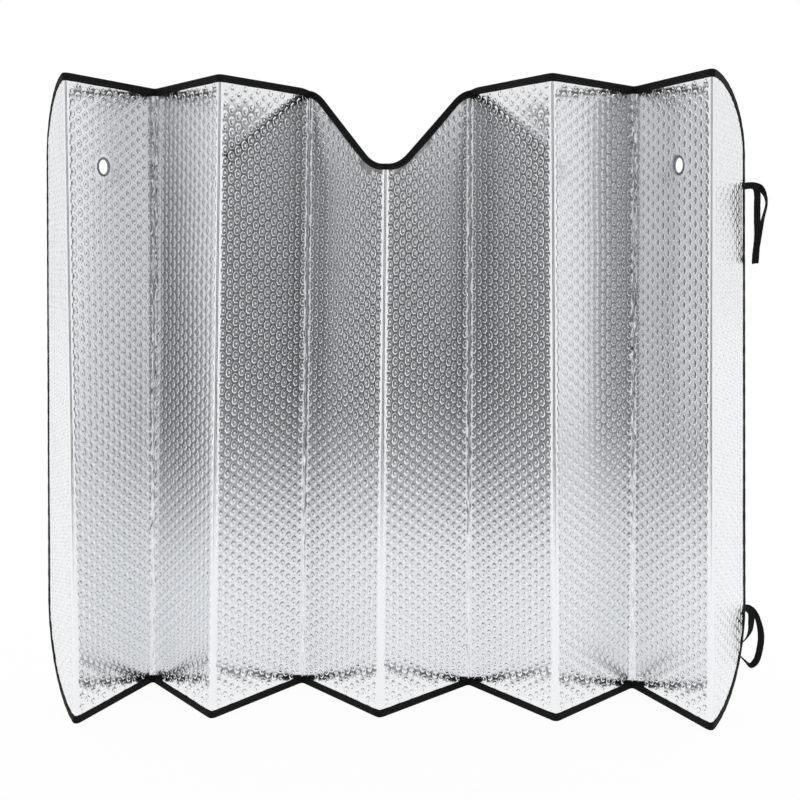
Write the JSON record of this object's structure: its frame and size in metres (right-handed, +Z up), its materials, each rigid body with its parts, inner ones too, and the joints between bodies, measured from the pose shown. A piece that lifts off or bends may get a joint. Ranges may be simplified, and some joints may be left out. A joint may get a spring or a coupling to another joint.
{
  "type": "windscreen sunshade",
  "caption": "Folding windscreen sunshade of foil-faced bubble film, standing open in a zigzag, with black edge binding, a mirror notch, cup holes and elastic loops.",
  "frame": {"origin": "on the ground under the middle of the standing shade's box", "axes": "+X across the windscreen, +Y away from the viewer, +Z up the shade"},
  "size_m": [0.7236, 0.1478, 0.6],
  "materials": {
    "foil": "bright silver foil laminated over air bubbles",
    "binding_tape": "matt black woven tape",
    "elastic": "black ribbed elastic"
  },
  "bodies": {
    "root": {"foil_sheet": "foil", "edge_binding": "binding_tape", "upper_strap": "elastic", "lower_strap": "elastic"}
  },
  "joints": []
}
